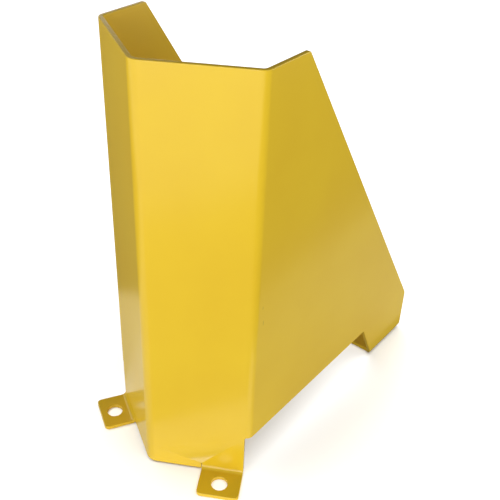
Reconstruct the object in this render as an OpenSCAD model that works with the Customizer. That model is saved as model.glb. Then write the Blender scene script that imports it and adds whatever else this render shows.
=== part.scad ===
// Folded steel guard for the foot of a column or a rack upright.
//
// One plate, cut flat and folded on a press brake: a V nose of two walls, two parallel
// wings with a sloping rear edge, and four feet with an anchor hole each. Every flat,
// every fold and every foot is a solid of its own. Neighbours meet face to face on the
// line where a fold starts, which is where the plate runs on in the real guard.
//
// The floor is z = 0, +Y points from the nose to the rear and +X is the right side.
// The origin is the middle of the guard's footprint.

/* [Overall size] */
// Height of the guard above the floor
guard_h = 400; // [300:5:600]
// Outside width across the two wings
guard_w = 164; // [130:1:260]
// Length from the corner where the nose walls would meet to the rear end of the wings
guard_l = 330; // [270:1:500]
// Length of the level top edge, from the same nose corner
top_l = 96; // [75:1:200]

/* [Plate] */
// Thickness of the plate
plate_t = 4; // [3:0.5:5]
// Inside radius of the folds at the shoulders and the feet
fold_r = 4; // [3:0.5:6]

/* [Nose] */
// Angle between each nose wall and the line from nose to rear
nose_a = 60; // [50:1:68]
// Inside radius of the fold at the nose
nose_r = 8; // [3:0.5:12]
// Gap between the floor and the lower edge of the nose walls
nose_gap = 2; // [1:0.5:6]

/* [Wings] */
// Height of the raised lower edge of each wing above the floor
wing_gap = 50; // [25:1:90]
// Height at which the sloping rear edge meets the upright rear end
rear_h = 52; // [35:1:120]
// Length of each wing's leg along the raised lower edge
leg_top_w = 88; // [66:1:130]
// Rounding of the corner between the sloping edge and the rear end
rear_corner_r = 12; // [2:1:20]
// Rounding of the corner between the top edge and the sloping edge
top_corner_r = 3; // [1:0.5:10]

/* [Feet] */
// Distance that each foot stands out from the face it is folded towards
foot_l = 30; // [26:1:50]
// Width of each nose foot along its wall
nose_foot_w = 39; // [25:1:60]
// Width of each wing foot along its wing
wing_foot_w = 61; // [30:1:80]
// Rounding of the two outer corners of a foot
foot_corner_r = 4; // [1:0.5:10]
// Width of the slit that frees each nose foot from the wall beside it
slit_w = 0.6; // [0.4:0.1:2]
// Distance that the slit runs past the start of the fold
slit_past = 1; // [0.5:0.5:4]

/* [Anchor holes] */
// Diameter of the anchor holes
hole_d = 15; // [9:0.5:18]
// Distance from the face that a foot is folded towards to the middle of its hole
hole_out = 16; // [13.5:0.5:20]

/* [Hidden] */
$fn = 96;

coat = "#F0BE2C";

// Outside radii of the folds, and the angles by which the nose and the shoulders turn
fold_outer_r = fold_r + plate_t;
nose_outer_r = nose_r + plate_t;
nose_turn = 180 - 2 * nose_a;
shoulder_turn = nose_a;

// Distances from a sharp outside corner to the line where its fold starts
nose_setback = nose_outer_r * tan(nose_turn / 2);
shoulder_setback = fold_outer_r * tan(shoulder_turn / 2);

// Length of a nose wall between its two sharp outside corners, and the wing's front line
wall_l = guard_w / 2 / sin(nose_a);
wing_front_y = wall_l * cos(nose_a) + shoulder_setback;

// A nose foot reaches from the shoulder fold towards the nose
nose_foot_end = wall_l - shoulder_setback;
nose_foot_start = nose_foot_end - nose_foot_w;

// Length of plate that a foot's fold takes up, measured along the middle of the plate
foot_fold_len = (fold_r + plate_t / 2) * PI / 2;

// The leg's front edge is one straight cut in the flat plate, from the raised lower edge
// to the foot, so the leg is leg_fold_w long where the foot's fold starts
leg_slope = (leg_top_w - wing_foot_w) / (wing_gap - fold_outer_r + foot_fold_len);
leg_fold_w = wing_foot_w + leg_slope * foot_fold_len;

// The footprint's middle: the nose fold or a nose foot's outer corner lies furthest forward
nose_front_y = nose_outer_r / sin(nose_a) - nose_outer_r;
foot_front_y = (nose_foot_start + foot_corner_r) * cos(nose_a)
             - (foot_l - foot_corner_r) * sin(nose_a) - foot_corner_r;
middle_y = (min(nose_front_y, foot_front_y) + guard_l) / 2;

// Steps along the slanted end of a foot's fold, and the play that a cutter has past it
slant_steps = 9;
cut_past = 1;

// Moves the guard so that the middle of its footprint is at the origin.
module placed() {
    translate([0, -middle_y, 0]) color(coat) children();
}

// The same piece on the left side of the guard.
module on_left() {
    mirror([1, 0, 0]) children();
}

// Frame of the right nose wall: +X runs along its outer face away from the nose, and -Y
// points outwards.
module nose_wall_frame() {
    rotate([0, 0, 90 - nose_a]) children();
}

// Frame of the right wing's foot: +X runs along its inner face from the rear end forwards,
// and -Y points inwards.
module wing_foot_frame() {
    translate([guard_w / 2 - plate_t, guard_l, 0]) rotate([0, 0, -90]) children();
}

// A vertical fold: a stretch of tube wall about the Z axis, from angle 0 to turn.
module upright_fold(inside_r, turn, low, high) {
    translate([0, 0, low]) rotate_extrude(angle = turn)
        translate([inside_r, 0]) square([plate_t, high - low]);
}

// What a round of radius r takes off the outer corner p of an outline, between its
// neighbours a and b.
module corner_waste(p, a, b, r) {
    to_a = (a - p) / norm(a - p);
    to_b = (b - p) / norm(b - p);
    half = acos(to_a * to_b) / 2;
    middle = (to_a + to_b) / norm(to_a + to_b);
    tangent = r / tan(half);
    difference() {
        polygon([p, p + to_a * tangent, p + to_b * tangent]);
        translate(p + middle * r / sin(half)) circle(r = r);
    }
}

// What the slanted cut takes off the end of a foot's fold that is slant longer at the wall
// than at the tab. It turns with the fold, as a cut square to the plate does.
module slant_waste(width, slant) {
    inner = fold_r - cut_past;
    outer = fold_outer_r + cut_past;
    far = width + slant + cut_past;
    rings = [for (i = [0 : slant_steps])
        let (turn = 90 * i / slant_steps, near = width + slant * i / slant_steps)
        [for (corner = [[inner, near], [outer, near], [outer, far], [inner, far]])
            [corner[0] * cos(turn), corner[0] * sin(turn), corner[1]]]];
    sides = [for (i = [0 : slant_steps - 1], k = [0 : 3])
        [4 * i + k, 4 * i + (k + 1) % 4, 4 * i + 4 + (k + 1) % 4, 4 * i + 4 + k]];
    last = 4 * slant_steps;
    ends = [[3, 2, 1, 0], [last, last + 1, last + 2, last + 3]];
    polyhedron([for (ring = rings) each ring], concat(sides, ends), convexity = 4);
}

// A foot: the fold at its root and the tab with the anchor hole. +X runs along the wall and
// -Y is the side that the foot is folded to. The fold is slant longer than the tab.
module foot(width, slant) {
    translate([0, -fold_r, fold_outer_r]) rotate([0, 90, 0]) difference() {
        rotate_extrude(angle = 90) translate([fold_r, 0]) square([plate_t, width + slant]);
        if (slant > 0) slant_waste(width, slant);
    }
    near = [[0, -fold_r], [width, -fold_r]];
    far = [[0, -foot_l], [width, -foot_l]];
    linear_extrude(plate_t) difference() {
        polygon([near[0], far[0], far[1], near[1]]);
        for (k = [0, 1]) corner_waste(far[k], far[1 - k], near[k], foot_corner_r);
        translate([width / 2, -hole_out]) circle(d = hole_d);
    }
}

// A nose wall's flat: its lower edge stops at the foot's fold, with a slit beside it.
module nose_panel() {
    fold_z = fold_outer_r;
    slit_z = fold_z + slit_past;
    slit_x = nose_foot_start - slit_w;
    outline = [[nose_setback, nose_gap], [slit_x, nose_gap], [slit_x, slit_z],
               [nose_foot_start, slit_z], [nose_foot_start, fold_z], [nose_foot_end, fold_z],
               [nose_foot_end, guard_h], [nose_setback, guard_h]];
    nose_wall_frame() translate([0, plate_t, 0]) rotate([90, 0, 0])
        linear_extrude(plate_t) polygon(outline);
}

// A wing's flat, drawn in the YZ plane: level top edge, sloping rear edge, upright rear end,
// and a leg that narrows towards the foot in front of the raised lower edge.
module wing_panel() {
    top_rear = [top_l, guard_h];
    rear_top = [guard_l, rear_h];
    rear_low = [guard_l, fold_outer_r];
    top_front = [wing_front_y, guard_h];
    leg_low = [guard_l - leg_fold_w, fold_outer_r];
    leg_high = [guard_l - leg_top_w, wing_gap];
    low_front = [wing_front_y, wing_gap];
    translate([guard_w / 2 - plate_t, 0, 0]) rotate([90, 0, 90]) linear_extrude(plate_t)
        difference() {
            polygon([top_front, top_rear, rear_top, rear_low, leg_low, leg_high, low_front]);
            corner_waste(top_rear, top_front, rear_top, top_corner_r);
            corner_waste(rear_top, top_rear, rear_low, rear_corner_r);
        }
}

// The fold between the right nose wall and the right wing.
module shoulder_bend() {
    translate([guard_w / 2 - fold_outer_r, wing_front_y, 0]) rotate([0, 0, -shoulder_turn])
        upright_fold(fold_r, shoulder_turn, wing_gap, guard_h);
}

module nose_bend() {
    placed() translate([0, nose_outer_r / sin(nose_a), 0]) rotate([0, 0, -90 - nose_turn / 2])
        upright_fold(nose_r, nose_turn, nose_gap, guard_h);
}

module nose_panel_left() {
    placed() on_left() nose_panel();
}

module nose_panel_right() {
    placed() nose_panel();
}

module shoulder_bend_left() {
    placed() on_left() shoulder_bend();
}

module shoulder_bend_right() {
    placed() shoulder_bend();
}

module wing_panel_left() {
    placed() on_left() wing_panel();
}

module wing_panel_right() {
    placed() wing_panel();
}

module nose_foot_left() {
    placed() on_left() nose_wall_frame() translate([nose_foot_start, 0, 0]) foot(nose_foot_w, 0);
}

module nose_foot_right() {
    placed() nose_wall_frame() translate([nose_foot_start, 0, 0]) foot(nose_foot_w, 0);
}

module wing_foot_left() {
    placed() on_left() wing_foot_frame() foot(wing_foot_w, leg_fold_w - wing_foot_w);
}

module wing_foot_right() {
    placed() wing_foot_frame() foot(wing_foot_w, leg_fold_w - wing_foot_w);
}

nose_bend();
nose_panel_left();
nose_panel_right();
shoulder_bend_left();
shoulder_bend_right();
wing_panel_left();
wing_panel_right();
nose_foot_left();
nose_foot_right();
wing_foot_left();
wing_foot_right();
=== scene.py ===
"""Folded steel column guard: its coated plate, a plain studio floor, lights and a camera.

The real guard is one plate: cut flat by laser, folded on a press brake and powder coated. This script goes
the same way. It cuts the flat plate with its rounded edges, folds it with Geometry Nodes, and then hands
each flat, each fold and each foot to the CAD node that it stands for.
"""

import math
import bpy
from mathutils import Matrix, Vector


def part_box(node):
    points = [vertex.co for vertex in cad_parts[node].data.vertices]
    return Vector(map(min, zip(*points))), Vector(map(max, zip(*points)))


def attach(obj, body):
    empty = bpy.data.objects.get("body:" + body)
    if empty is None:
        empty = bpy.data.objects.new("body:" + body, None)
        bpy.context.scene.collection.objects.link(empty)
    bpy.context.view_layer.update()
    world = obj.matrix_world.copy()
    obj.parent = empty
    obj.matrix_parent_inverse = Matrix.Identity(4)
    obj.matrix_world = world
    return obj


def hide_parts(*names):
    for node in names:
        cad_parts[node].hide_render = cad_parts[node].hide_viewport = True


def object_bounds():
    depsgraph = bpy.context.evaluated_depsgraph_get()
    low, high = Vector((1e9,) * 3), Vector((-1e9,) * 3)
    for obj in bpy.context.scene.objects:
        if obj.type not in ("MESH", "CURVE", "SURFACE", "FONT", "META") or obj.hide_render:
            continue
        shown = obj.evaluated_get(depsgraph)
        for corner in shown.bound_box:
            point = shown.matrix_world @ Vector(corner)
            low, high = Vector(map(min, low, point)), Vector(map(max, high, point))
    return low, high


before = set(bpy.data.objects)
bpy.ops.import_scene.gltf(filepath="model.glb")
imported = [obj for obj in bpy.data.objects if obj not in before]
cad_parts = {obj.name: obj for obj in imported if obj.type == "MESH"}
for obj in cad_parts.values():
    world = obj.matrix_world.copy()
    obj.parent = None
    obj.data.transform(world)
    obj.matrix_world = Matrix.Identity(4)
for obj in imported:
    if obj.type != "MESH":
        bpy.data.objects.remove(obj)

from types import SimpleNamespace

import bmesh
import bpy
from bpy.props import FloatProperty, FloatVectorProperty, PointerProperty, StringProperty
from mathutils import Matrix, Vector

bl_info = {
    "name": "Folded Column Guard",
    "version": (1, 0, 0),
    "blender": (4, 5, 0),
    "location": "3D View > Sidebar > Column Guard",
    "description": "Cuts, folds and coats a steel guard for the foot of a column",
    "category": "Add Mesh",
}

MM = 0.001
SAME_PLACE = 0.01 * MM
SLICE_REACH = 0.0005 * MM
PAST_THE_PLATE = 10.0
CAD_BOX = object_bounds()
NOSE_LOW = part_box("nose_bend")[0]
SHOULDER_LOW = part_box("shoulder_bend_right")[0]
WING_LOW, WING_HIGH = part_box("wing_panel_right")

BODY = "root"
COAT = "powder_coat_yellow"
FLOOR_PAINT = "floor_matt_white"
FOLDED_PLATE = "folded_plate"
FOLD_TREE = "fold_along_a_line"
PRESS_BRAKE_TREE = "press_brake"

# Attributes of the plate: the surface's direction, how far a point lies in a cut edge, its place in the
# flat plate, and the number of the piece that a face belongs to
FACING = "facing"
CUT_EDGE = "cut_edge"
FLAT_PLACE = "flat_place"
PIECE = "piece"

# Every stretch of the plate, in the order of its number
NODES = ("nose_bend", "nose_panel_left", "nose_panel_right", "shoulder_bend_left", "shoulder_bend_right",
         "wing_panel_left", "wing_panel_right", "nose_foot_left", "nose_foot_right", "wing_foot_left",
         "wing_foot_right")
JOINT_FACE = -1

# How finely the plate follows its corners, holes, cut edges and folds
CORNER_STEPS = 6
HOLE_STEPS = 48
EDGE_STEPS = 4
FOLD_STEPS = 4


def length(name, description, default, **more):
    """A size in the 3D view's own length unit."""
    return FloatProperty(name=name, description=description, default=default, min=0, unit="LENGTH",
                         subtype="DISTANCE", precision=5, **more)


class GuardSizes(bpy.types.PropertyGroup):
    """Sizes of the folded plate."""

    plate_t: length("Plate", "Thickness of the plate", WING_HIGH.x - WING_LOW.x)
    height: length("Height", "Height of the guard above the floor", WING_HIGH.z)
    half_w: length("Half width", "Distance from the middle plane to a wing's outer face", WING_HIGH.x)
    wing_l: length("Wing", "Length of a wing's flat", WING_HIGH.y - WING_LOW.y)
    slope_l: length("Slope", "Level length of a wing's sloping edge, with its rear end", 234 * MM)
    rear_h: length("Rear end", "Height at which the slope meets the rear end", 52 * MM)
    nose_a: FloatProperty(name="Nose angle", description="Angle between a nose wall and the middle plane",
                          default=math.radians(60), subtype="ANGLE", unit="ROTATION")
    outer_r: length("Fold", "Outside radius of the folds at the shoulders and the feet", WING_LOW.z)
    nose_outer_r: length("Nose fold", "Outside radius of the fold at the nose", 12 * MM)
    nose_gap: length("Nose gap", "Gap between the floor and the nose walls", NOSE_LOW.z)
    wing_gap: length("Wing gap", "Gap between the floor and a wing's raised edge", SHOULDER_LOW.z)
    leg_top_w: length("Leg", "Length of a wing's leg along the raised edge", 88 * MM)
    foot_l: length("Foot", "Distance that a foot stands out from the face it is folded to", 30 * MM)
    nose_foot_w: length("Nose foot", "Width of a nose foot", 39 * MM)
    wing_foot_w: length("Wing foot", "Width of a wing foot", 61 * MM)
    hole_d: length("Anchor hole", "Diameter of an anchor hole", 15 * MM)
    hole_out: length("Hole distance", "Distance from the face that a foot is folded to, to its hole", 16 * MM)
    slit_w: length("Slit", "Width of the slit beside a nose foot", 0.6 * MM)
    slit_past: length("Slit end", "Distance that the slit runs past the start of the fold", 1 * MM)
    rear_corner_r: length("Rear corner", "Rounding between the slope and the rear end", 12 * MM)
    top_corner_r: length("Top corner", "Rounding between the top edge and the slope", 3 * MM)
    foot_corner_r: length("Foot corner", "Rounding of a foot's outer corners", 4 * MM)
    notch_r: length("Notch", "Rounding left by the laser in the inside corners", 1.5 * MM)
    edge_r: length("Edge", "Rounding of the cut edges under the coat", 0.7 * MM)
    slit_edge_r: length("Slit edge", "Rounding of the slit's two edges", 0.15 * MM)


class CoatSettings(bpy.types.PropertyGroup):
    """Look of the powder coat."""

    colour: StringProperty(name="Colour", description="sRGB colour of the coat", default="#EBC62E")
    deep_colour: StringProperty(name="Thin colour", description="sRGB colour where the coat is thin",
                                default="#DBAD22")
    # This colour is also the painted shade at the two dents on the right wing
    chip_and_dent_shade_colour: StringProperty(name="Chip", description="sRGB colour of the primer under a chip",
                                default="#5A4524")
    roughness: FloatProperty(name="Roughness", description="Roughness of the cured coat", default=0.2,
                             min=0, max=1, subtype="FACTOR")
    peel_pitch: length("Orange peel", "Distance between two humps of the coat's orange peel", 2.6 * MM)
    peel_depth: length("Peel depth", "Height of the orange peel", 0.010 * MM)
    wave_pitch: length("Flow", "Distance between two waves where the coat flowed", 22 * MM)
    wave_depth: length("Flow depth", "Height of those waves", 0.02 * MM)
    cloud_pitch: length("Cloud", "Distance between paler and deeper clouds of the colour", 90 * MM)
    cut_pitch: length("Laser lines", "Distance between two laser lines in a cut edge", 0.9 * MM)
    cut_depth: length("Laser depth", "Depth of those lines under the coat", 0.03 * MM)
    mark_depth: length("Mark depth", "Depth of a handling mark", 0.15 * MM)
    ior: FloatProperty(name="IOR", description="Index of refraction of the cured polyester", default=1.5)


class StageSettings(bpy.types.PropertyGroup):
    """Floor, light and camera."""

    floor_colour: StringProperty(name="Floor", description="sRGB colour of the floor", default="#EEEEEC")
    floor_size: length("Floor size", "Side of the square floor", 12.0)
    board_w: length("Board width", "Width of the boards that stand out on the guard's two sides", 155 * MM)
    board_rear: length("Board rear", "Distance from the guard to the rear of the boards", 780 * MM)
    board_front: length("Near board", "Distance from the guard to the front of the near board", 435 * MM)
    board_close: length("Close board", "Distance from the guard to the front of the close board", 45 * MM)
    sky: FloatProperty(name="Surroundings", description="Brightness of the room round the floor",
                       default=0.1, min=0)
    backdrop: FloatProperty(name="Backdrop", description="Brightness of the room as the camera sees it",
                            default=1.0, min=0)
    box_distance: length("Soft box distance", "Distance of a soft box from the guard", 1.8)
    box_size: length("Soft box size", "Side of a soft box", 1.1)
    wash_power: FloatProperty(name="Floor light", description="Power of the light that only the floor takes",
                              default=2000, min=0, unit="POWER")
    wash_distance: length("Floor light height", "Height of the floor's light over the guard", 8.0)
    wash_size: length("Floor light size", "Side of the floor's light", 14.0)
    azimuth: FloatProperty(name="Azimuth", description="Turn of the camera round the guard, 0 along +Y",
                           default=math.radians(38.89), subtype="ANGLE", unit="ROTATION")
    elevation: FloatProperty(name="Elevation", description="Height of the camera over the horizon",
                             default=math.radians(33.72), subtype="ANGLE", unit="ROTATION")
    roll: FloatProperty(name="Roll", description="Tilt of the camera about its own axis",
                        default=math.radians(1.42), subtype="ANGLE", unit="ROTATION")
    distance: length("Distance", "Distance from the camera to the point it aims at", 702 * MM)
    aim: FloatVectorProperty(name="Aim", description="Point in the middle plane that the camera aims at",
                             default=(0, -53.7 * MM, 204.5 * MM), subtype="TRANSLATION", unit="LENGTH")
    lens: FloatProperty(name="Lens", description="Focal length on a sensor 36 mm wide, in mm", default=56.37)
    shift: FloatVectorProperty(name="Shift", description="Shift of the picture, in picture widths", size=2,
                               default=(0.0424, -0.0338))


def linear(colour):
    """An sRGB hex colour as linear red, green, blue and alpha."""
    def channel(text):
        value = int(text, 16) / 255
        return value / 12.92 if value <= 0.04045 else ((value + 0.055) / 1.055) ** 2.4
    return (*(channel(colour[i:i + 2]) for i in (1, 3, 5)), 1.0)


def add_node(tree, kind, inputs=None, **settings):
    """Add a node with its settings. inputs maps a socket to a value, or to the socket that feeds it."""
    node = tree.nodes.new(kind)
    for name, value in settings.items():
        setattr(node, name, value)
    for key, value in (inputs or {}).items():
        if isinstance(value, bpy.types.NodeSocket):
            tree.links.new(value, node.inputs[key])
        else:
            node.inputs[key].default_value = value
    return node


# ---- The flat plate ----------------------------------------------------------------------------------


def flat_layout(size):
    """Where the folds, feet and corners lie in the flat plate.

    Distances run along the plate from the nose's middle line. Heights below the start of a foot's fold carry
    on down the foot.
    """
    middle_r = size.outer_r - size.plate_t / 2
    inner_r = size.outer_r - size.plate_t
    nose_middle_r = size.nose_outer_r - size.plate_t / 2
    half_nose_turn = math.pi / 2 - size.nose_a
    corner_wall = size.half_w / math.sin(size.nose_a)
    nose_setback = size.nose_outer_r * math.tan(half_nose_turn)
    shoulder_setback = size.outer_r * math.tan(size.nose_a / 2)

    flat = SimpleNamespace(half_nose_turn=half_nose_turn, shoulder_turn=size.nose_a)
    flat.nose_end = nose_middle_r * half_nose_turn
    flat.shoulder_start = flat.nose_end + corner_wall - nose_setback - shoulder_setback
    flat.shoulder_end = flat.shoulder_start + middle_r * flat.shoulder_turn
    flat.rear = flat.shoulder_end + size.wing_l
    flat.foot_start = size.outer_r
    flat.foot_flat = flat.foot_start - middle_r * math.pi / 2
    flat.foot_end = flat.foot_flat - (size.foot_l - inner_r)
    flat.hole_z = flat.foot_flat - (size.hole_out - inner_r)
    flat.nose_foot = (flat.shoulder_start - size.nose_foot_w, flat.shoulder_start)
    flat.wing_foot = (flat.rear - size.wing_foot_w, flat.rear)
    flat.slit = flat.nose_foot[0] - size.slit_w
    flat.nose_foot_slit = flat.nose_foot[0] - size.slit_w / 2
    # Place of the nose's outer face, so that the wings' rear ends lie where the frame has them
    nose_to_corner = size.nose_outer_r / math.sin(size.nose_a) - size.nose_outer_r
    corner_to_rear = corner_wall * math.cos(size.nose_a) + shoulder_setback + size.wing_l
    flat.nose_front = WING_HIGH.y - corner_to_rear + nose_to_corner
    return flat


def half_outline(size, flat):
    """Corners of the right half's outline, from the nose's lower edge round to the top edge.

    Each corner is its place along the plate, its height, the rounding of the outline there and the rounding
    of the cut edge.
    """
    edge = size.edge_r
    fine = size.slit_edge_r
    slit_r = size.slit_w / 2
    slit_top = flat.foot_start + size.slit_past
    slit_side = 4 * size.slit_w
    return [
        (flat.slit - slit_side, size.nose_gap, 0, edge),
        (flat.slit, size.nose_gap, slit_r, fine),
        (flat.slit, slit_top, slit_r, fine),
        (flat.nose_foot[0], slit_top, slit_r, fine),
        (flat.nose_foot[0], size.nose_gap - slit_side, 0, edge),
        (flat.nose_foot[0], flat.foot_end, size.foot_corner_r, edge),
        (flat.nose_foot[1], flat.foot_end, size.foot_corner_r, edge),
        (flat.nose_foot[1], size.wing_gap, size.notch_r, edge),
        (flat.rear - size.leg_top_w, size.wing_gap, size.notch_r, edge),
        (flat.wing_foot[0], flat.foot_flat, size.notch_r, edge),
        (flat.wing_foot[0], flat.foot_end, size.foot_corner_r, edge),
        (flat.wing_foot[1], flat.foot_end, size.foot_corner_r, edge),
        (flat.wing_foot[1], size.rear_h, size.rear_corner_r, edge),
        (flat.rear - size.slope_l, size.height, size.top_corner_r, edge),
    ]


def turned(direction, angle):
    """A flat direction turned anticlockwise."""
    return Matrix(((math.cos(angle), -math.sin(angle)), (math.sin(angle), math.cos(angle)))) @ direction


def rounded_outline(corners, steps):
    """Points of a closed anticlockwise outline: place, direction out of the plate, rounding of the edge."""
    points = []
    for i, (x, z, radius, edge_r) in enumerate(corners):
        here = Vector((x, z))
        back = (Vector(corners[i - 1][:2]) - here).normalized()
        ahead = (Vector(corners[(i + 1) % len(corners)][:2]) - here).normalized()
        out_before = turned(back, math.pi / 2)
        if radius == 0:
            points.append((here, out_before, edge_r))
            continue
        # An outer corner turns left and has its arc's middle in the plate, an inner corner outside it
        turn = -math.atan2(back.cross(ahead), -back.dot(ahead))
        bulge = math.copysign(radius, turn)
        middle = here + back * radius * math.tan(abs(turn) / 2) - out_before * bulge
        for k in range(steps + 1):
            out = turned(out_before, turn * k / steps)
            points.append((middle + out * bulge, out, edge_r))
    return points


def round_hole(x, z, radius, edge_r, steps):
    """Points of a hole's rim, whose direction out of the plate is towards the hole's middle."""
    points = []
    for k in range(steps):
        turn = math.tau * k / steps
        away = Vector((math.cos(turn), math.sin(turn)))
        points.append((Vector((x, z)) + away * radius, -away, edge_r))
    return points


def add_cut_edge(plate, points, plate_t, steps, marks):
    """Lay rings of points over a cut edge, from the outer face to the inner one, and skin them."""
    turns = [math.pi / 2 * k / steps for k in range(steps + 1)]
    profile = [(0, turn) for turn in turns] + [(1, turn) for turn in reversed(turns)]
    rings = []
    for far, turn in profile:
        ring = []
        for place, out, edge_r in points:
            at = place - out * edge_r * (1 - math.sin(turn))
            depth = edge_r * (1 - math.cos(turn))
            point = plate.verts.new((at.x, plate_t - depth if far else depth, at.y))
            across = math.cos(turn) * (1 if far else -1)
            point[marks.facing] = (out.x * math.sin(turn), across, out.y * math.sin(turn))
            point[marks.cut_edge] = math.sin(turn)
            point[marks.flat_place] = point.co
            ring.append(point)
        rings.append(ring)
    for ring, following in zip(rings, rings[1:]):
        for k, point in enumerate(ring):
            plate.faces.new((ring[k - 1], point, following[k], following[k - 1]))
    return rings[0], rings[-1]


def fill_face(plate, rings):
    """Fill a face of the plate between its outline and its holes."""
    edges = [plate.edges.get((ring[k - 1], point)) for ring in rings for k, point in enumerate(ring)]
    bmesh.ops.triangle_fill(plate, use_beauty=True, edges=edges)


def slice_across(plate, place, direction, chosen):
    """Cut the chosen faces along a plane, so that the plate has points on that line."""
    faces = [face for face in plate.faces if chosen(face.calc_center_median())]
    edges = {edge for face in faces for edge in face.edges}
    points = {point for face in faces for point in face.verts}
    bmesh.ops.bisect_plane(plate, geom=[*points, *edges, *faces], plane_co=place, plane_no=direction,
                           dist=SLICE_REACH)


def slice_folds(plate, flat, steps):
    """Cut the plate at the start and the end of every fold, and at even steps between."""
    across = Vector((1, 0, 0))
    down = Vector((0, 0, -1))
    shoulder = flat.shoulder_end - flat.shoulder_start
    lines = [flat.nose_end * k / steps for k in range(1, steps + 1)]
    lines += [flat.shoulder_start + shoulder * k / (2 * steps) for k in range(2 * steps + 1)]
    for line in [0, *lines, *(-line for line in lines)]:
        slice_across(plate, Vector((line, 0, 0)), across, lambda middle: True)

    def on_foot(middle):
        return abs(middle.x) > flat.slit and middle.z < flat.foot_start

    slice_across(plate, Vector((0, 0, flat.foot_start)), down, lambda middle: True)
    fold = flat.foot_start - flat.foot_flat
    for k in range(1, 3 * steps + 1):
        slice_across(plate, Vector((0, 0, flat.foot_start - fold * k / (3 * steps))), down, on_foot)


def piece_of(middle, flat):
    """Number of the piece that a face of the flat plate belongs to."""
    along = abs(middle.x)
    side = "left" if middle.x < 0 else "right"
    on_foot = middle.z < flat.foot_start
    if along < flat.nose_end:
        name = "nose_bend"
    elif along < flat.shoulder_start + SAME_PLACE:
        name = f"nose_foot_{side}" if on_foot and along > flat.nose_foot_slit else f"nose_panel_{side}"
    elif along < flat.shoulder_end:
        name = f"shoulder_bend_{side}"
    else:
        name = f"wing_foot_{side}" if on_foot else f"wing_panel_{side}"
    return NODES.index(name)


def cut_flat_plate(size, flat):
    """The laser-cut plate before it is folded: outer face on y = 0, inner face on y = plate_t."""
    plate = bmesh.new()
    marks = SimpleNamespace(
        facing=plate.verts.layers.float_vector.new(FACING),
        cut_edge=plate.verts.layers.float.new(CUT_EDGE),
        flat_place=plate.verts.layers.float_vector.new(FLAT_PLACE),
        piece=plate.faces.layers.int.new(PIECE))
    right = half_outline(size, flat)
    left = [(-x, z, radius, edge_r) for x, z, radius, edge_r in reversed(right)]
    loops = [rounded_outline(right + left, CORNER_STEPS)]
    for foot in (flat.nose_foot, flat.wing_foot):
        for side in (-1, 1):
            hole_x = side * (foot[0] + foot[1]) / 2
            loops.append(round_hole(hole_x, flat.hole_z, size.hole_d / 2, size.edge_r, HOLE_STEPS))
    rings = [add_cut_edge(plate, points, size.plate_t, EDGE_STEPS, marks) for points in loops]
    for face_rings in zip(*rings):
        fill_face(plate, face_rings)
    slice_folds(plate, flat, FOLD_STEPS)
    bmesh.ops.recalc_face_normals(plate, faces=plate.faces)
    for face in plate.faces:
        face[marks.piece] = piece_of(face.calc_center_median(), flat)
    mesh = bpy.data.meshes.new("flat_plate")
    plate.to_mesh(mesh)
    plate.free()
    return mesh


# ---- The press brake ---------------------------------------------------------------------------------


def add_sockets(tree, inputs):
    """Give a Geometry Nodes tree its geometry sockets and its named inputs."""
    tree.interface.new_socket("Geometry", in_out="OUTPUT", socket_type="NodeSocketGeometry")
    tree.interface.new_socket("Geometry", in_out="INPUT", socket_type="NodeSocketGeometry")
    for name, kind in inputs:
        tree.interface.new_socket(name, in_out="INPUT", socket_type=f"NodeSocket{kind}")


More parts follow.
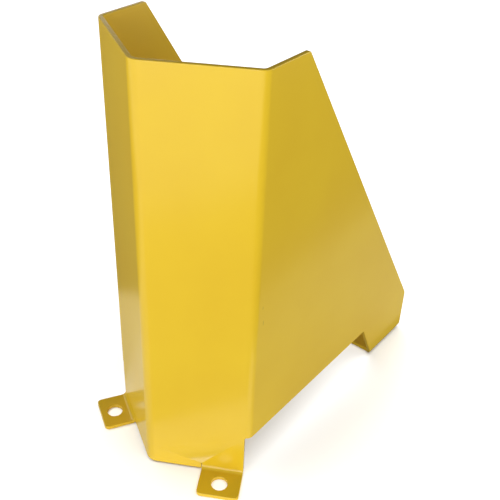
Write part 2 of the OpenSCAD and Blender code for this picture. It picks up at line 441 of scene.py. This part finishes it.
def fold_tree():
    """Geometry Nodes that fold both halves of a plate about a line and its mirror image.

    Points past the line turn about the fold's axis, by their share of the angle, and keep their thickness.
    """
    tree = bpy.data.node_groups.new(FOLD_TREE, "GeometryNodeTree")
    add_sockets(tree, [("Line", "Vector"), ("Onwards", "Vector"), ("Towards", "Vector"), ("Angle", "Float"),
                       ("Outer Radius", "Float"), ("Thickness", "Float"), ("From", "Float"), ("To", "Float")])
    given = add_node(tree, "NodeGroupInput").outputs

    place = add_node(tree, "GeometryNodeInputPosition").outputs[0]
    along = add_node(tree, "ShaderNodeSeparateXYZ", {0: place}).outputs["X"]
    sign = add_node(tree, "ShaderNodeMath", {0: along}, operation="SIGN").outputs[0]
    half = add_node(tree, "ShaderNodeCombineXYZ", {"X": sign, "Y": 1.0, "Z": 1.0}).outputs[0]
    right = add_node(tree, "ShaderNodeVectorMath", {0: place, 1: half}, operation="MULTIPLY").outputs[0]

    # Length of plate in the fold, at its middle, and the share of it that a point has passed
    half_t = add_node(tree, "ShaderNodeMath", {0: given["Thickness"], 1: 0.5}, operation="MULTIPLY")
    middle_r = add_node(tree, "ShaderNodeMath", {0: given["Outer Radius"], 1: half_t.outputs[0]},
                        operation="SUBTRACT")
    run = add_node(tree, "ShaderNodeMath", {0: middle_r.outputs[0], 1: given["Angle"]}, operation="MULTIPLY")
    from_line = add_node(tree, "ShaderNodeVectorMath", {0: right, 1: given["Line"]}, operation="SUBTRACT")
    passed = add_node(tree, "ShaderNodeVectorMath", {0: from_line.outputs[0], 1: given["Onwards"]},
                      operation="DOT_PRODUCT").outputs["Value"]
    used = add_node(tree, "ShaderNodeClamp", {"Value": passed, "Min": 0.0, "Max": run.outputs[0]}).outputs[0]
    share = add_node(tree, "ShaderNodeMath", {0: used, 1: run.outputs[0]}, operation="DIVIDE").outputs[0]
    turn = add_node(tree, "ShaderNodeMath", {0: share, 1: given["Angle"]}, operation="MULTIPLY").outputs[0]

    # The used length rolls up, and the rest turns about the fold's axis
    back = add_node(tree, "ShaderNodeVectorMath", {0: given["Onwards"], "Scale": used}, operation="SCALE")
    drawn = add_node(tree, "ShaderNodeVectorMath", {0: right, 1: back.outputs[0]}, operation="SUBTRACT")
    rise = add_node(tree, "ShaderNodeVectorMath", {0: given["Towards"], "Scale": given["Outer Radius"]},
                    operation="SCALE")
    centre = add_node(tree, "ShaderNodeVectorMath", {0: given["Line"], 1: rise.outputs[0]}, operation="ADD")
    axis = add_node(tree, "ShaderNodeVectorMath", {0: given["Onwards"], 1: given["Towards"]},
                    operation="CROSS_PRODUCT").outputs[0]
    rolled = add_node(tree, "ShaderNodeVectorRotate", {"Vector": drawn.outputs[0], "Axis": axis,
                                                       "Angle": turn, "Center": centre.outputs[0]})
    folded = add_node(tree, "ShaderNodeVectorMath", {0: rolled.outputs[0], 1: half}, operation="MULTIPLY")

    # The surface's direction turns with it
    facing = add_node(tree, "GeometryNodeInputNamedAttribute", {"Name": FACING}, data_type="FLOAT_VECTOR")
    facing_right = add_node(tree, "ShaderNodeVectorMath", {0: facing.outputs[0], 1: half},
                            operation="MULTIPLY")
    facing_turned = add_node(tree, "ShaderNodeVectorRotate", {"Vector": facing_right.outputs[0], "Axis": axis,
                                                              "Angle": turn})
    facing_folded = add_node(tree, "ShaderNodeVectorMath", {0: facing_turned.outputs[0], 1: half},
                             operation="MULTIPLY")

    # Only the stretch of the plate between From and To is in the press, and not the middle line itself
    distance = add_node(tree, "ShaderNodeMath", {0: along}, operation="ABSOLUTE").outputs[0]
    after = add_node(tree, "FunctionNodeCompare", {0: distance, 1: given["From"]}, operation="GREATER_THAN")
    before = add_node(tree, "FunctionNodeCompare", {0: distance, 1: given["To"]}, operation="LESS_THAN")
    held = add_node(tree, "FunctionNodeBooleanMath", {0: after.outputs[0], 1: before.outputs[0]}).outputs[0]
    with_facing = add_node(tree, "GeometryNodeStoreNamedAttribute",
                           {"Geometry": given["Geometry"], "Selection": held, "Name": FACING,
                            "Value": facing_folded.outputs[0]}, data_type="FLOAT_VECTOR", domain="POINT")
    moved = add_node(tree, "GeometryNodeSetPosition",
                     {"Geometry": with_facing.outputs[0], "Selection": held, "Position": folded.outputs[0]})
    add_node(tree, "NodeGroupOutput", {0: moved.outputs[0]})
    return tree


def press_brake_tree():
    """Geometry Nodes that make the four pairs of folds in the real press's order, and set the guard up."""
    tree = bpy.data.node_groups.new(PRESS_BRAKE_TREE, "GeometryNodeTree")
    add_sockets(tree, [("Thickness", "Float"), ("Outer Radius", "Float"), ("Foot Angle", "Float"),
                       ("Shoulder Angle", "Float"), ("Half Nose Angle", "Float"), ("Foot Line", "Float"),
                       ("Shoulder Line", "Float"), ("Nose Foot Side", "Float"), ("Wing Foot Side", "Float"),
                       ("Nose Radius", "Float"), ("Nose Front", "Float"), ("Finish", "Material")])
    given = add_node(tree, "NodeGroupInput").outputs
    across, inwards, outwards, down = (1, 0, 0), (0, 1, 0), (0, -1, 0), (0, 0, -1)
    foot_line_in = add_node(tree, "ShaderNodeCombineXYZ", {"Z": given["Foot Line"]}).outputs[0]
    foot_line_out = add_node(tree, "ShaderNodeCombineXYZ", {"Y": given["Thickness"], "Z": given["Foot Line"]})
    shoulder_line = add_node(tree, "ShaderNodeCombineXYZ", {"X": given["Shoulder Line"]}).outputs[0]
    whole = {"From": 0.0, "To": PAST_THE_PLATE}
    folds = [
        {"Line": foot_line_out.outputs[0], "Onwards": down, "Towards": outwards,
         "Angle": given["Foot Angle"], "From": given["Nose Foot Side"], "To": given["Wing Foot Side"]},
        {"Line": foot_line_in, "Onwards": down, "Towards": inwards,
         "Angle": given["Foot Angle"], "From": given["Wing Foot Side"], "To": PAST_THE_PLATE},
        {"Line": shoulder_line, "Onwards": across, "Towards": inwards,
         "Angle": given["Shoulder Angle"], **whole},
        {"Line": (0, 0, 0), "Onwards": across, "Towards": inwards,
         "Angle": given["Half Nose Angle"], "Outer Radius": given["Nose Radius"], **whole},
    ]
    plate = given["Geometry"]
    for fold in folds:
        sizes = {"Outer Radius": given["Outer Radius"], "Thickness": given["Thickness"]}
        press = add_node(tree, "GeometryNodeGroup", {"Geometry": plate, **sizes, **fold},
                         node_tree=bpy.data.node_groups[FOLD_TREE])
        plate = press.outputs[0]
    front = add_node(tree, "ShaderNodeCombineXYZ", {"Y": given["Nose Front"]}).outputs[0]
    stood = add_node(tree, "GeometryNodeTransform", {"Geometry": plate, "Translation": front})
    real = add_node(tree, "GeometryNodeRealizeInstances", {0: stood.outputs[0]})
    coated = add_node(tree, "GeometryNodeSetMaterial", {"Geometry": real.outputs[0],
                                                        "Material": given["Finish"]})
    add_node(tree, "NodeGroupOutput", {0: coated.outputs[0]})
    return tree


def fold_plate(guard):
    """Cut the flat plate, fold it and keep the result as one mesh for the pieces to be taken from."""
    size = guard.sizes
    flat = flat_layout(size)
    fold_tree()
    tree = press_brake_tree()
    blank = bpy.data.objects.new("flat_plate", cut_flat_plate(size, flat))
    bpy.context.scene.collection.objects.link(blank)
    values = {"Thickness": size.plate_t, "Outer Radius": size.outer_r, "Foot Angle": math.pi / 2,
              "Shoulder Angle": flat.shoulder_turn, "Half Nose Angle": flat.half_nose_turn,
              "Foot Line": flat.foot_start, "Shoulder Line": flat.shoulder_start,
              "Nose Foot Side": flat.nose_foot_slit, "Wing Foot Side": flat.shoulder_end,
              "Nose Radius": size.nose_outer_r, "Nose Front": flat.nose_front,
              "Finish": powder_coat(guard.coat)}
    press = blank.modifiers.new("press_brake", "NODES")
    press.node_group = tree
    for item in tree.interface.items_tree:
        if item.in_out == "INPUT" and item.name in values:
            press[item.identifier] = values[item.name]
    view = bpy.context.evaluated_depsgraph_get()
    folded = bpy.data.meshes.new_from_object(blank.evaluated_get(view), preserve_all_data_layers=True,
                                             depsgraph=view)
    folded.name = FOLDED_PLATE
    flat_mesh = blank.data
    bpy.data.objects.remove(blank)
    bpy.data.meshes.remove(flat_mesh)
    return folded


# ---- The pieces --------------------------------------------------------------------------------------


def shade_by_facing(mesh):
    """Give every corner of a face the surface's own direction there, and a joint's flat face its own."""
    facing = [Vector(item.vector).normalized() for item in mesh.attributes[FACING].data]
    pieces = [item.value for item in mesh.attributes[PIECE].data]
    directions = []
    for face in mesh.polygons:
        face.use_smooth = True
        for corner in face.loop_indices:
            joint = pieces[face.index] == JOINT_FACE
            directions.append(face.normal.copy() if joint else facing[mesh.loops[corner].vertex_index])
    mesh.normals_split_custom_set(directions)
    for name in (FACING, PIECE):
        mesh.attributes.remove(mesh.attributes[name])


def take_piece(node):
    """Part one stretch of the folded plate from its neighbours, as a closed solid in its node's place."""
    if FOLDED_PLATE not in bpy.data.meshes:
        raise RuntimeError("Fold the plate before its pieces are taken")
    part = bmesh.new()
    part.from_mesh(bpy.data.meshes[FOLDED_PLATE])
    piece = part.faces.layers.int[PIECE]
    others = [face for face in part.faces if face[piece] != NODES.index(node)]
    bmesh.ops.delete(part, geom=others, context="FACES")
    if not part.faces:
        raise RuntimeError(f"The folded plate has no stretch for {node}")
    open_edges = [edge for edge in part.edges if edge.is_boundary]
    for face in bmesh.ops.holes_fill(part, edges=open_edges, sides=0)["faces"]:
        face[piece] = JOINT_FACE
    bmesh.ops.recalc_face_normals(part, faces=part.faces)
    mesh = bpy.data.meshes.new(f"{node}_coated")
    part.to_mesh(mesh)
    part.free()
    mesh.materials.clear()
    mesh.materials.append(bpy.data.materials[COAT])
    shade_by_facing(mesh)
    coated = bpy.data.objects.new(f"{node}_coated", mesh)
    collection("column_guard").objects.link(coated)
    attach(coated, BODY)
    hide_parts(node)


def collection(name):
    """The scene's collection of that name, made if it isn't there."""
    found = bpy.data.collections.get(name)
    if found is None:
        found = bpy.data.collections.new(name)
        bpy.context.scene.collection.children.link(found)
    return found


# ---- The powder coat ---------------------------------------------------------------------------------

# Stretch of the cloud pattern that colours the coat, and how much thinner a cloud and a cut edge look
CLOUD_FROM, CLOUD_TO = 0.35, 0.65
CLOUD_THIN = 0.22
CUT_EDGE_THIN = 0.08
# Difference in roughness between the smoothest and the roughest cloud
CLOUD_ROUGH = 0.12
# The laser's lines are drawn out along the plate's thickness by this factor
LINE_DRAW = 0.03
# Share of a handling mark's half size at which it shows in full
MARK_CORE = 0.6

# Small marks that handling leaves: middle, half sizes, share of primer colour mixed in. At the chip on the
# left nose foot the primer is real; at the two dents on the right wing the primer colour is painted shade of
# the dents
MARKS_AND_DENT_SHADE = (
    (Vector((WING_HIGH.x, WING_LOW.y + 4.4 * MM, 196.1 * MM)), Vector((1, 0.6, 2.2)) * MM, 0.25),
    (Vector((WING_HIGH.x, WING_LOW.y + 5.9 * MM, 179.6 * MM)), Vector((1, 0.6, 3.4)) * MM, 0.3),
    (Vector((-73.6 * MM, CAD_BOX[0].y + 6.6 * MM, 1.4 * MM)), Vector((1.6, 1.2, 1.3)) * MM, 0.9),
)


def handling_marks_and_dent_shade(tree, place):
    """How much of the primer colour is mixed in: one small long spot for each mark, real primer at the chip
    and painted shade at the two wing dents.
    """
    shown = 0.0
    for middle, half_size, share in MARKS_AND_DENT_SHADE:
        from_middle = add_node(tree, "ShaderNodeVectorMath", {0: place, 1: middle}, operation="SUBTRACT")
        scaled = add_node(tree, "ShaderNodeVectorMath", {0: from_middle.outputs[0], 1: half_size},
                          operation="DIVIDE")
        far = add_node(tree, "ShaderNodeVectorMath", {0: scaled.outputs[0]}, operation="LENGTH")
        spot = add_node(tree, "ShaderNodeMapRange", {"Value": far.outputs["Value"], "From Min": 1.0,
                                                     "From Max": MARK_CORE, "To Min": 0.0,
                                                     "To Max": share})
        shown = add_node(tree, "ShaderNodeMath", {0: spot.outputs[0], 1: shown}, operation="ADD").outputs[0]
    return shown


def powder_coat(coat):
    """Polyester powder, sprayed and baked on cut and folded steel.

    It gives the eye an even, full yellow with a clear gloss, a fine orange peel that breaks up reflections,
    slow waves where the powder flowed, and a thinner, deeper coat over the laser's lines in the cut edges.
    """
    material = bpy.data.materials.new(COAT)
    material.use_nodes = True
    tree = material.node_tree
    tree.nodes.clear()
    flat_place = add_node(tree, "ShaderNodeAttribute", attribute_name=FLAT_PLACE).outputs["Vector"]
    cut_edge = add_node(tree, "ShaderNodeAttribute", attribute_name=CUT_EDGE).outputs["Fac"]
    place = add_node(tree, "ShaderNodeTexCoord").outputs["Object"]

    cloud = add_node(tree, "ShaderNodeTexNoise", {"Vector": flat_place, "Scale": 1 / coat.cloud_pitch,
                                                  "Detail": 3.0, "Roughness": 0.5}).outputs[0]
    peel = add_node(tree, "ShaderNodeTexNoise", {"Vector": flat_place, "Scale": 1 / coat.peel_pitch,
                                                 "Detail": 1.0, "Roughness": 0.4}).outputs[0]
    wave = add_node(tree, "ShaderNodeTexNoise", {"Vector": flat_place, "Scale": 1 / coat.wave_pitch,
                                                 "Detail": 1.0, "Roughness": 0.5}).outputs[0]
    # The laser's lines run straight through the plate, so their pattern is drawn out along its thickness
    drawn_out = add_node(tree, "ShaderNodeMapping", {"Vector": flat_place, "Scale": (1, LINE_DRAW, 1)})
    lines = add_node(tree, "ShaderNodeTexNoise", {"Vector": drawn_out.outputs[0],
                                                  "Scale": 1 / coat.cut_pitch, "Detail": 0.0}).outputs[0]
    lines = add_node(tree, "ShaderNodeMath", {0: lines, 1: cut_edge}, operation="MULTIPLY").outputs[0]

    # Primer colour at the marks: real at the chip, painted shade at the two wing dents
    marks = handling_marks_and_dent_shade(tree, place)
    thin = add_node(tree, "ShaderNodeMapRange", {"Value": cloud, "From Min": CLOUD_FROM,
                                                 "From Max": CLOUD_TO, "To Min": 0.0,
                                                 "To Max": CLOUD_THIN}).outputs[0]
    thin = add_node(tree, "ShaderNodeMath", {0: cut_edge, 1: CUT_EDGE_THIN, 2: thin},
                    operation="MULTIPLY_ADD").outputs[0]
    coat_colour = add_node(tree, "ShaderNodeMix", {0: thin, 6: linear(coat.colour),
                                                   7: linear(coat.deep_colour)},
                           data_type="RGBA").outputs[2]
    colour = add_node(tree, "ShaderNodeMix", {0: marks, 6: coat_colour, 7: linear(coat.chip_and_dent_shade_colour)},
                      data_type="RGBA").outputs[2]
    roughness = add_node(tree, "ShaderNodeMath", {0: cloud, 1: CLOUD_ROUGH,
                                                  2: coat.roughness - CLOUD_ROUGH / 2},
                         operation="MULTIPLY_ADD").outputs[0]

    height = 0.0
    for pattern, depth in ((peel, coat.peel_depth), (wave, coat.wave_depth), (lines, coat.cut_depth),
                           (marks, -coat.mark_depth)):
        height = add_node(tree, "ShaderNodeMath", {0: pattern, 1: depth, 2: height},
                          operation="MULTIPLY_ADD").outputs[0]
    relief = add_node(tree, "ShaderNodeBump", {"Height": height, "Distance": 1.0, "Strength": 1.0}).outputs[0]
    shader = add_node(tree, "ShaderNodeBsdfPrincipled", {"Base Color": colour, "Roughness": roughness,
                                                         "IOR": coat.ior, "Normal": relief})
    add_node(tree, "ShaderNodeOutputMaterial", {"Surface": shader.outputs[0]})
    return material


# ---- The stage ---------------------------------------------------------------------------------------

# Colours of the boards that the guard's gloss shows, and how far they lie under the floor
LEFT_BOARD = "#A59F89"
RIGHT_BOARD = "#9F9B8C"
NOSE_BOARD = "#C4C0B2"
NEAR_BOARD = "#E6E2D2"
MID_BOARD = "#8A8678"
FAR_BOARD = "#E2DFD2"
BOARD_HEIGHT = -0.1 * MM

# Matt paint has a rough surface and next to no shine
PAINT_ROUGHNESS = 0.9
PAINT_SHINE = 0.1

# Soft boxes round the guard: turn and height in degrees, power in watts. The one at the back left is there
# for a view from behind.
SOFT_BOXES = {
    "front_light": (12, 8, 17),
    "right_light": (84, 12, 10.5),
    "rear_light": (141, 7, 11),
    "back_left_light": (-118, 6, 7),
    "left_light": (-80, 40, 6.5),
    "top_light": (60, 72, 1),
}


def matt_paint(name, colour):
    """Matt studio paint, rolled on board: an even, pale surface with no gloss."""
    material = bpy.data.materials.new(name)
    material.use_nodes = True
    tree = material.node_tree
    tree.nodes.clear()
    shader = add_node(tree, "ShaderNodeBsdfPrincipled", {"Base Color": linear(colour),
                                                         "Roughness": PAINT_ROUGHNESS,
                                                         "Specular IOR Level": PAINT_SHINE})
    add_node(tree, "ShaderNodeOutputMaterial", {"Surface": shader.outputs[0]})
    return material


def level_sheet(name, low, high, height, material):
    """A flat sheet that isn't part of the guard, between two corners and at one height."""
    sheet = bmesh.new()
    corners = [(low[0], low[1]), (high[0], low[1]), (high[0], high[1]), (low[0], high[1])]
    sheet.faces.new([sheet.verts.new((x, y, height)) for x, y in corners])
    mesh = bpy.data.meshes.new(name)
    sheet.to_mesh(mesh)
    sheet.free()
    mesh.materials.append(material)
    laid = bpy.data.objects.new(name, mesh)
    collection("stage").objects.link(laid)
    collection("floor").objects.link(laid)
    return laid


def lay_floor(stage):
    """A plain floor, and boards at its level that throw light up and show in the guard's gloss.

    The camera sees only the floor, and the guard's gloss and the light thrown up know only the boards.
    """
    half = stage.floor_size / 2
    white = matt_paint(FLOOR_PAINT, stage.floor_colour)
    floor = level_sheet("floor", (-half, -half), (half, half), 0.0, white)
    floor.visible_glossy = False
    floor.visible_diffuse = False
    floor.visible_shadow = False
    low, high = CAD_BOX
    sides = (low.x - stage.board_w, high.x + stage.board_w)
    shoulders = WING_LOW.y
    rear = high.y + stage.board_rear
    front = low.y - stage.board_front
    close = low.y - stage.board_close
    boards = [
        ("board_left", LEFT_BOARD, (sides[0], shoulders), (low.x, rear)),
        ("board_right", RIGHT_BOARD, (high.x, shoulders), (sides[1], rear)),
        ("board_nose", NOSE_BOARD, (sides[0], front), (0, shoulders)),
        ("board_near", NEAR_BOARD, (0, close), (sides[1], shoulders)),
        ("board_mid", MID_BOARD, (0, front), (sides[1], close)),
        ("board_far", FAR_BOARD, (-half, -half), (half, front)),
    ]
    for name, colour, near, far in boards:
        board = level_sheet(name, near, far, BOARD_HEIGHT, matt_paint(f"{name}_matt", colour))
        board.visible_camera = False
        board.visible_shadow = False


def direction_to(azimuth, elevation):
    """Direction from the guard to a camera or a light at that turn and height."""
    level = math.cos(elevation)
    return Vector((math.sin(azimuth) * level, -math.cos(azimuth) * level, math.sin(elevation)))


def soft_light(name, azimuth, elevation, distance, size, power, receivers):
    """A square light that faces the guard and lights only the objects of one collection."""
    lamp = bpy.data.lights.new(name, "AREA")
    lamp.shape = "SQUARE"
    lamp.size = size
    lamp.energy = power
    light = bpy.data.objects.new(name, lamp)
    middle = (CAD_BOX[0] + CAD_BOX[1]) / 2
    away = direction_to(azimuth, elevation)
    light.location = middle + away * distance
    light.rotation_euler = away.to_track_quat("Z", "Y").to_euler()
    collection("stage").objects.link(light)
    light.light_linking.receiver_collection = collection(receivers)


def light_stage(stage):
    """Soft boxes on the guard, the floor's own light overhead and the room round them."""
    for name, (azimuth, elevation, power) in SOFT_BOXES.items():
        soft_light(name, math.radians(azimuth), math.radians(elevation), stage.box_distance, stage.box_size,
                   power, "column_guard")
    soft_light("floor_light", 0.0, math.pi / 2, stage.wash_distance, stage.wash_size, stage.wash_power,
               "floor")
    world = bpy.data.worlds.new("pale_room")
    world.use_nodes = True
    world.node_tree.nodes.clear()
    # The room throws little light on the guard, and looks as pale as the floor behind it
    seen = add_node(world.node_tree, "ShaderNodeLightPath").outputs["Is Camera Ray"]
    strength = add_node(world.node_tree, "ShaderNodeMapRange", {"Value": seen, "To Min": stage.sky,
                                                                "To Max": stage.backdrop}).outputs[0]
    room = add_node(world.node_tree, "ShaderNodeBackground", {"Color": linear("#FFFFFF"),
                                                              "Strength": strength})
    add_node(world.node_tree, "ShaderNodeOutputWorld", {"Surface": room.outputs[0]})
    bpy.context.scene.world = world
    bpy.context.scene.view_settings.view_transform = "Standard"


def place_camera(stage):
    """The camera, turned round the guard and tilted a little about its own axis."""
    data = bpy.data.cameras.new("camera")
    data.sensor_width = 36
    data.lens = stage.lens
    data.shift_x, data.shift_y = stage.shift
    data.clip_start = 10 * MM
    data.clip_end = 100
    camera = bpy.data.objects.new("camera", data)
    away = direction_to(stage.azimuth, stage.elevation)
    turn = away.to_track_quat("Z", "Y").to_matrix().to_4x4() @ Matrix.Rotation(stage.roll, 4, "Z")
    camera.matrix_world = Matrix.Translation(Vector(stage.aim) + away * stage.distance) @ turn
    collection("stage").objects.link(camera)
    bpy.context.scene.camera = camera


# ---- Operators, panel and run ------------------------------------------------------------------------


class GuardSettings(bpy.types.PropertyGroup):
    """Everything that a user would change."""

    sizes: PointerProperty(type=GuardSizes)
    coat: PointerProperty(type=CoatSettings)
    stage: PointerProperty(type=StageSettings)


class FoldPlateOperator(bpy.types.Operator):
    """Cut the flat plate with its slits and holes, mix its coat and fold it"""

    bl_idname = "column_guard.fold_plate"
    bl_label = "Cut and Fold Plate"
    bl_options = {"REGISTER", "UNDO"}

    def execute(self, context):
        fold_plate(context.scene.column_guard)
        return {"FINISHED"}


class PieceOperator:
    """Takes its nodes' pieces from the folded plate."""

    bl_options = {"REGISTER", "UNDO"}
    nodes = ()

    def execute(self, context):
        for node in self.nodes:
            take_piece(node)
        return {"FINISHED"}


class NoseBendOperator(PieceOperator, bpy.types.Operator):
    """Take the upright fold at the nose from the folded plate"""

    bl_idname = "column_guard.nose_bend"
    bl_label = "Nose Bend"
    nodes = ("nose_bend",)


class NosePanelsOperator(PieceOperator, bpy.types.Operator):
    """Take the two slanted walls of the nose from the folded plate"""

    bl_idname = "column_guard.nose_panels"
    bl_label = "Nose Panels"
    nodes = ("nose_panel_left", "nose_panel_right")


class ShoulderBendsOperator(PieceOperator, bpy.types.Operator):
    """Take the upright folds between nose and wings from the folded plate"""

    bl_idname = "column_guard.shoulder_bends"
    bl_label = "Shoulder Bends"
    nodes = ("shoulder_bend_left", "shoulder_bend_right")


class WingPanelsOperator(PieceOperator, bpy.types.Operator):
    """Take the two wings with their sloping edges and legs from the folded plate"""

    bl_idname = "column_guard.wing_panels"
    bl_label = "Wing Panels"
    nodes = ("wing_panel_left", "wing_panel_right")


class NoseFeetOperator(PieceOperator, bpy.types.Operator):
    """Take the two feet that stand out from the nose from the folded plate"""

    bl_idname = "column_guard.nose_feet"
    bl_label = "Nose Feet"
    nodes = ("nose_foot_left", "nose_foot_right")


class WingFeetOperator(PieceOperator, bpy.types.Operator):
    """Take the two feet that turn in under the wings from the folded plate"""

    bl_idname = "column_guard.wing_feet"
    bl_label = "Wing Feet"
    nodes = ("wing_foot_left", "wing_foot_right")


class StageOperator(bpy.types.Operator):
    """Lay the floor, hang the lights and set the camera up"""

    bl_idname = "column_guard.stage"
    bl_label = "Stage"
    bl_options = {"REGISTER", "UNDO"}

    def execute(self, context):
        stage = context.scene.column_guard.stage
        lay_floor(stage)
        light_stage(stage)
        place_camera(stage)
        return {"FINISHED"}


class GuardPanel(bpy.types.Panel):
    """Sizes, looks and steps of the column guard."""

    bl_idname = "VIEW3D_PT_column_guard"
    bl_label = "Column Guard"
    bl_space_type = "VIEW_3D"
    bl_region_type = "UI"
    bl_category = "Column Guard"

    def draw(self, context):
        guard = context.scene.column_guard
        for title, group in (("Plate", guard.sizes), ("Coat", guard.coat), ("Stage", guard.stage)):
            box = self.layout.box()
            box.label(text=title)
            for name in group.__annotations__:
                box.prop(group, name)
        for operator in STEPS:
            self.layout.operator(operator.bl_idname)


STEPS = (FoldPlateOperator, NoseBendOperator, NosePanelsOperator, ShoulderBendsOperator, WingPanelsOperator,
         NoseFeetOperator, WingFeetOperator, StageOperator)
CLASSES = (GuardSizes, CoatSettings, StageSettings, GuardSettings, *STEPS, GuardPanel)


def register():
    for each in CLASSES:
        bpy.utils.register_class(each)
    bpy.types.Scene.column_guard = PointerProperty(type=GuardSettings)


def unregister():
    del bpy.types.Scene.column_guard
    for each in reversed(CLASSES):
        bpy.utils.unregister_class(each)


def main():
    """Make the guard and its stage."""
    register()
    for step in STEPS:
        group, name = step.bl_idname.split(".")
        getattr(getattr(bpy.ops, group), name)()
    bpy.data.meshes.remove(bpy.data.meshes[FOLDED_PLATE])


if __name__ == "__main__":
    main()
